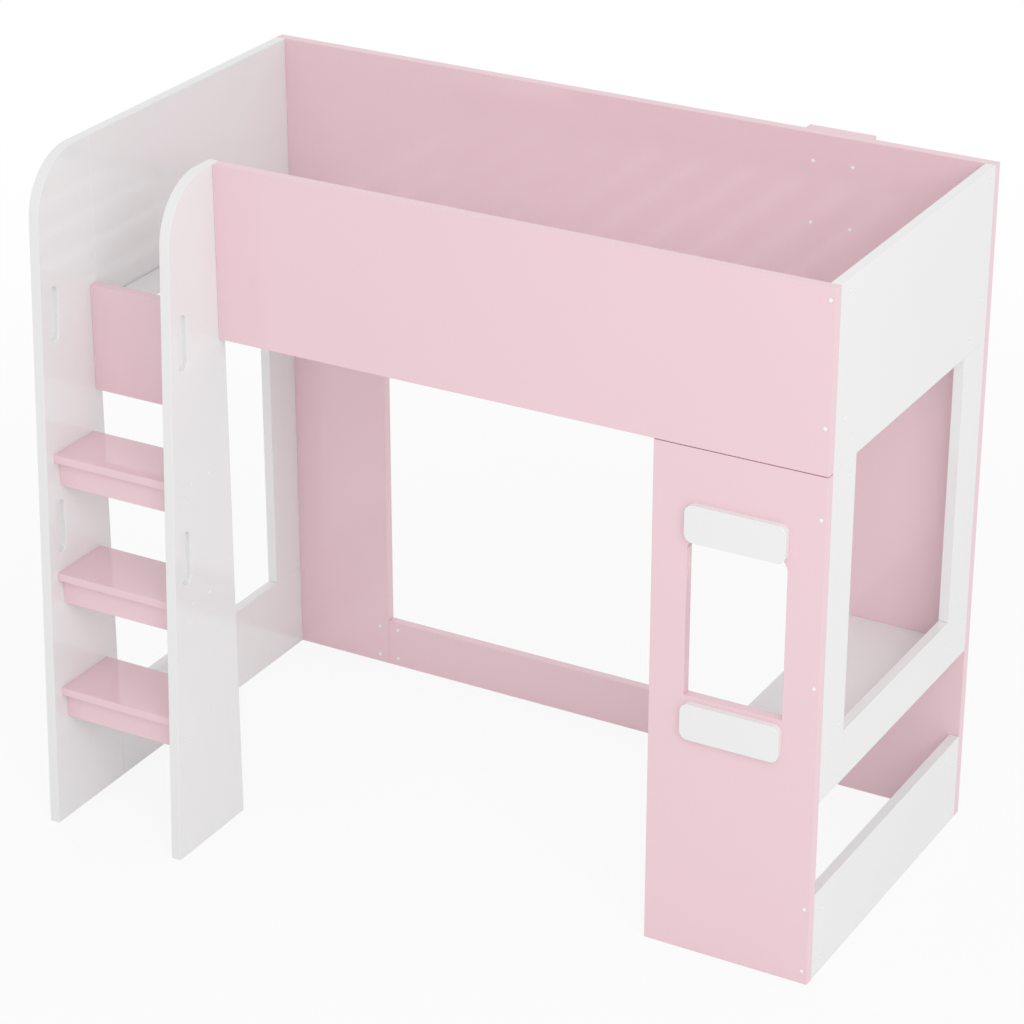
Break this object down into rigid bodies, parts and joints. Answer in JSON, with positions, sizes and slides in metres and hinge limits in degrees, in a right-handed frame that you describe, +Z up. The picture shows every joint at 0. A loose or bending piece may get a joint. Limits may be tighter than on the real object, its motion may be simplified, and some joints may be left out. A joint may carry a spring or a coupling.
{
  "type": "loft bed",
  "caption": "Child's loft bed of pink and white lacquered boards: guarded bed box on panels, with a side ladder, a window panel and a shelf desk under it.",
  "frame": {"origin": "middle of the whole footprint, ladder included, on the floor", "axes": "+X along the bed from the ladder end to the window end, +Y from the front to the back, +Z up"},
  "size_m": [2.09, 1.258, 1.837],
  "materials": {
    "pink_lacquer": "gloss lacquer",
    "white_lacquer": "gloss lacquer",
    "cap_plastic": "gloss",
    "zinc_steel": "zinc plated",
    "dowel_wood": "bare"
  },
  "bodies": {
    "root": {"back_bottom_rail": "pink_lacquer", "back_ledger": "zinc_steel", "back_left_column": "pink_lacquer", "back_left_plate": "zinc_steel", "back_right_column": "pink_lacquer", "back_right_plate": "zinc_steel", "back_upper_board": "pink_lacquer", "back_wall_plate": "pink_lacquer", "barrel_nuts": "zinc_steel", "base_screws": "zinc_steel", "corner_bolts": "zinc_steel", "corner_studs": "zinc_steel", "cover_caps": "cap_plastic", "desk_back_cleat": "white_lacquer", "desk_front_cleat": "white_lacquer", "desk_shelf": "white_lacquer", "dowels": "dowel_wood", "edge_screws": "zinc_steel", "entry_rail": "pink_lacquer", "front_guard": "pink_lacquer", "front_guard_plate": "zinc_steel", "front_ledger": "zinc_steel", "front_mid_plate": "zinc_steel", "joint_screws": "zinc_steel", "ladder_inner_side": "white_lacquer", "ladder_outer_side": "white_lacquer", "left_bottom_rail": "white_lacquer", "left_end_guard": "white_lacquer", "left_rear_post": "white_lacquer", "lower_riser": "pink_lacquer", "lower_tread": "pink_lacquer", "middle_riser": "pink_lacquer", "middle_tread": "pink_lacquer", "plate_screws": "zinc_steel", "rear_guard_plate": "zinc_steel", "rear_mid_plate": "zinc_steel", "right_bottom_rail": "white_lacquer", "right_end_guard": "white_lacquer", "right_front_post": "white_lacquer", "right_mid_rail": "white_lacquer", "right_rear_post": "white_lacquer", "slat_01": "white_lacquer", "slat_02": "white_lacquer", "slat_03": "white_lacquer", "slat_04": "white_lacquer", "slat_05": "white_lacquer", "slat_06": "white_lacquer", "slat_07": "white_lacquer", "slat_08": "white_lacquer", "slat_09": "white_lacquer", "slat_10": "white_lacquer", "slat_11": "white_lacquer", "slat_12": "white_lacquer", "slat_13": "white_lacquer", "slat_14": "white_lacquer", "upper_riser": "pink_lacquer", "upper_tread": "pink_lacquer", "window_head_bar": "white_lacquer", "window_panel": "pink_lacquer", "window_sill_bar": "white_lacquer"}
  },
  "joints": []
}
